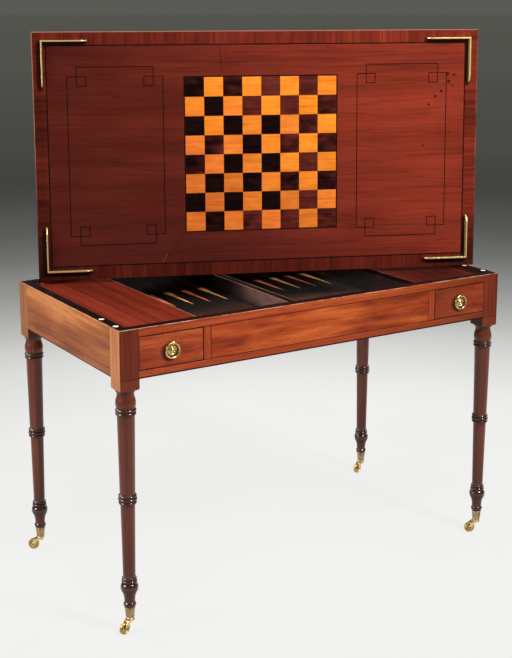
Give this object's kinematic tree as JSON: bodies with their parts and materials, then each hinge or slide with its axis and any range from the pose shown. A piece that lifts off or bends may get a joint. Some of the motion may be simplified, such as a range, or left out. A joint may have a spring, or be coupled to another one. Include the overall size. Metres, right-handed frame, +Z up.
{
  "type": "chess and backgammon table",
  "caption": "Mahogany games table with a lift-off top inlaid with a chessboard, a backgammon well under it, end drawers with ring pulls, and turned legs on brass castors.",
  "frame": {"origin": "on the floor under the middle of the frame", "axes": "+X along the length to the right seen from the front, +Y from the drawer front to the back, +Z up"},
  "size_m": [1.117, 0.5848, 1.3316],
  "materials": {
    "mahogany_leg": "french polished",
    "mahogany_frieze": "french polished",
    "ebony": "polished",
    "ebonised": "gloss black stain",
    "bone": "polished bone",
    "mahogany_deck": "french polished",
    "boxwood": "polished",
    "red_inlay": "polished",
    "deal": "bare",
    "oak": "bare",
    "brass": "polished",
    "steel": "plain",
    "mahogany_top": "french polished",
    "crossbanding": "french polished",
    "satinwood": "french polished",
    "dark_veneer": "french polished"
  },
  "bodies": {
    "table_frame": {"leg_front_left": "mahogany_leg", "leg_front_right": "mahogany_leg", "leg_back_left": "mahogany_leg", "leg_back_right": "mahogany_leg", "end_rail_left": "mahogany_frieze", "end_rail_right": "mahogany_frieze", "back_rail": "mahogany_frieze", "front_top_rail": "mahogany_frieze", "front_bottom_rail": "mahogany_frieze", "front_centre_panel": "mahogany_frieze", "front_muntins": "mahogany_frieze", "frieze_stringing": "ebony", "rim_capping": "ebonised", "rim_bone_discs": "bone", "end_decks": "mahogany_deck", "well_side_walls": "ebonised", "well_floor": "ebonised", "well_points_light": "boxwood", "well_points_red": "red_inlay", "well_linings": "ebonised", "well_bar": "ebonised", "well_bar_stringing": "boxwood", "deck_and_floor_bearers": "deal", "drawer_runners_and_guides": "deal", "castor_cups": "brass"},
    "top": {"top_core": "deal", "top_crossbanding": "crossbanding", "top_field_veneer": "mahogany_top", "top_stringing": "ebony", "chess_squares_light": "satinwood", "chess_squares_dark": "dark_veneer", "top_brass_corners": "brass", "top_plain_field": "mahogany_top", "top_plain_banding": "crossbanding"},
    "drawer_left": {"drawer_left_front": "mahogany_frieze", "drawer_left_sides": "oak", "drawer_left_back": "oak", "drawer_left_bottom": "oak", "pull_left_plate": "brass", "pull_left_bolt": "brass"},
    "ring_left": {"pull_left_ring": "brass"},
    "drawer_right": {"drawer_right_front": "mahogany_frieze", "drawer_right_sides": "oak", "drawer_right_back": "oak", "drawer_right_bottom": "oak", "pull_right_plate": "brass", "pull_right_bolt": "brass"},
    "ring_right": {"pull_right_ring": "brass"},
    "castor_front_left_swivel": {"castor_front_left_horn": "brass", "castor_front_left_axle": "steel"},
    "castor_front_left_roller": {"castor_front_left_wheel": "brass"},
    "castor_front_right_swivel": {"castor_front_right_horn": "brass", "castor_front_right_axle": "steel"},
    "castor_front_right_roller": {"castor_front_right_wheel": "brass"},
    "castor_back_left_swivel": {"castor_back_left_horn": "brass", "castor_back_left_axle": "steel"},
    "castor_back_left_roller": {"castor_back_left_wheel": "brass"},
    "castor_back_right_swivel": {"castor_back_right_horn": "brass", "castor_back_right_axle": "steel"},
    "castor_back_right_roller": {"castor_back_right_wheel": "brass"}
  },
  "joints": [
    {"name": "top_lift", "type": "slide", "parent": "table_frame", "child": "top", "axis": [0, 0, 1], "range_m": [0, 0.3]},
    {"name": "drawer_left_slide", "type": "slide", "parent": "table_frame", "child": "drawer_left", "axis": [0, -1, 0], "range_m": [0, 0.3]},
    {"name": "ring_left_swing", "type": "hinge", "parent": "drawer_left", "child": "ring_left", "pos_m": [-0.4145, -0.2886, 0.6718], "axis": [-1, 0, 0], "range_deg": [0, 90]},
    {"name": "drawer_right_slide", "type": "slide", "parent": "table_frame", "child": "drawer_right", "axis": [0, -1, 0], "range_m": [0, 0.3]},
    {"name": "ring_right_swing", "type": "hinge", "parent": "drawer_right", "child": "ring_right", "pos_m": [0.4145, -0.2886, 0.6718], "axis": [-1, 0, 0], "range_deg": [0, 90]},
    {"name": "castor_front_left_turn", "type": "hinge", "parent": "table_frame", "child": "castor_front_left_swivel", "pos_m": [-0.5185, -0.2595, 0.033], "axis": [0, 0, 1], "continuous": true},
    {"name": "castor_front_left_roll", "type": "hinge", "parent": "castor_front_left_swivel", "child": "castor_front_left_roller", "pos_m": [-0.53588, -0.26583, 0.014], "axis": [0.342, -0.9397, 0], "continuous": true},
    {"name": "castor_front_right_turn", "type": "hinge", "parent": "table_frame", "child": "castor_front_right_swivel", "pos_m": [0.5185, -0.2595, 0.033], "axis": [0, 0, 1], "continuous": true},
    {"name": "castor_front_right_roll", "type": "hinge", "parent": "castor_front_right_swivel", "child": "castor_front_right_roller", "pos_m": [0.50091, -0.25378, 0.014], "axis": [-0.309, -0.9511, 0], "continuous": true},
    {"name": "castor_back_left_turn", "type": "hinge", "parent": "table_frame", "child": "castor_back_left_swivel", "pos_m": [-0.5185, 0.2595, 0.033], "axis": [0, 0, 1], "continuous": true},
    {"name": "castor_back_left_roll", "type": "hinge", "parent": "castor_back_left_swivel", "child": "castor_back_left_roller", "pos_m": [-0.53419, 0.2693, 0.014], "axis": [-0.5299, -0.848, 0], "continuous": true},
    {"name": "castor_back_right_turn", "type": "hinge", "parent": "table_frame", "child": "castor_back_right_swivel", "pos_m": [0.5185, 0.2595, 0.033], "axis": [0, 0, 1], "continuous": true},
    {"name": "castor_back_right_roll", "type": "hinge", "parent": "castor_back_right_swivel", "child": "castor_back_right_roller", "pos_m": [0.50101, 0.25348, 0.014], "axis": [0.3256, -0.9455, 0], "continuous": true}
  ]
}
